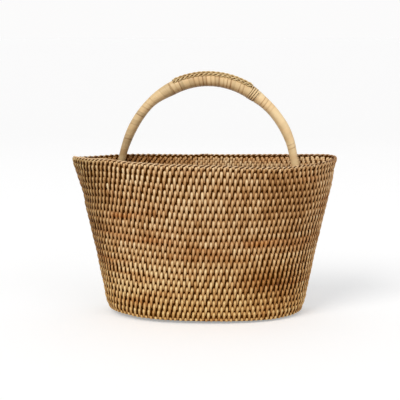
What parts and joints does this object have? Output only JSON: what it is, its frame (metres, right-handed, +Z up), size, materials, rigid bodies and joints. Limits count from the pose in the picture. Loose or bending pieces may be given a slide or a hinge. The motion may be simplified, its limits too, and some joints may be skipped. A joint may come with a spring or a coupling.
{
  "type": "wall basket",
  "caption": "D-shaped basket of stacked, stitched rattan coils with a flat back, a bound rim and a cane-wrapped arch handle that hangs on a wall hook.",
  "frame": {"origin": "on the floor, under the middle of the basket's outer box", "axes": "+Z up; +X to the right seen from the front; +Y towards the wall that the flat back hangs against"},
  "size_m": [0.3198, 0.1164, 0.2913],
  "materials": {
    "stitched_rattan": "satin honey-brown rattan, lightly lacquered",
    "rim_cane": "satin pale cane",
    "rattan_pole": "satin rattan pole",
    "peeled_cane": "satin golden peeled cane",
    "lacing_cane": "satin split cane"
  },
  "bodies": {
    "root": {"base_centre": "stitched_rattan", "base_edge_coil": "stitched_rattan", "base_coil_2": "stitched_rattan", "base_coil_3": "stitched_rattan", "base_coil_4": "stitched_rattan", "wall_course_01": "stitched_rattan", "wall_course_02": "stitched_rattan", "wall_course_03": "stitched_rattan", "wall_course_04": "stitched_rattan", "wall_course_05": "stitched_rattan", "wall_course_06": "stitched_rattan", "wall_course_07": "stitched_rattan", "wall_course_08": "stitched_rattan", "wall_course_09": "stitched_rattan", "wall_course_10": "stitched_rattan", "wall_course_11": "stitched_rattan", "wall_course_12": "stitched_rattan", "wall_course_13": "stitched_rattan", "wall_course_14": "stitched_rattan", "wall_course_15": "stitched_rattan", "wall_course_16": "stitched_rattan", "wall_course_17": "stitched_rattan", "wall_course_18": "stitched_rattan", "wall_course_19": "stitched_rattan", "wall_course_20": "stitched_rattan", "wall_course_21": "stitched_rattan", "rim_rod": "stitched_rattan", "rim_binding": "rim_cane", "handle_pole": "rattan_pole", "left_leg_wrap": "peeled_cane", "grip_wrap": "peeled_cane", "right_leg_wrap": "peeled_cane", "grip_lacing": "lacing_cane", "grip_end_binding": "lacing_cane", "left_leg_tie_1": "lacing_cane", "left_leg_tie_2": "lacing_cane", "left_leg_tie_3": "lacing_cane", "right_leg_tie_1": "lacing_cane", "right_leg_tie_2": "lacing_cane", "right_leg_tie_3": "lacing_cane"}
  },
  "joints": []
}
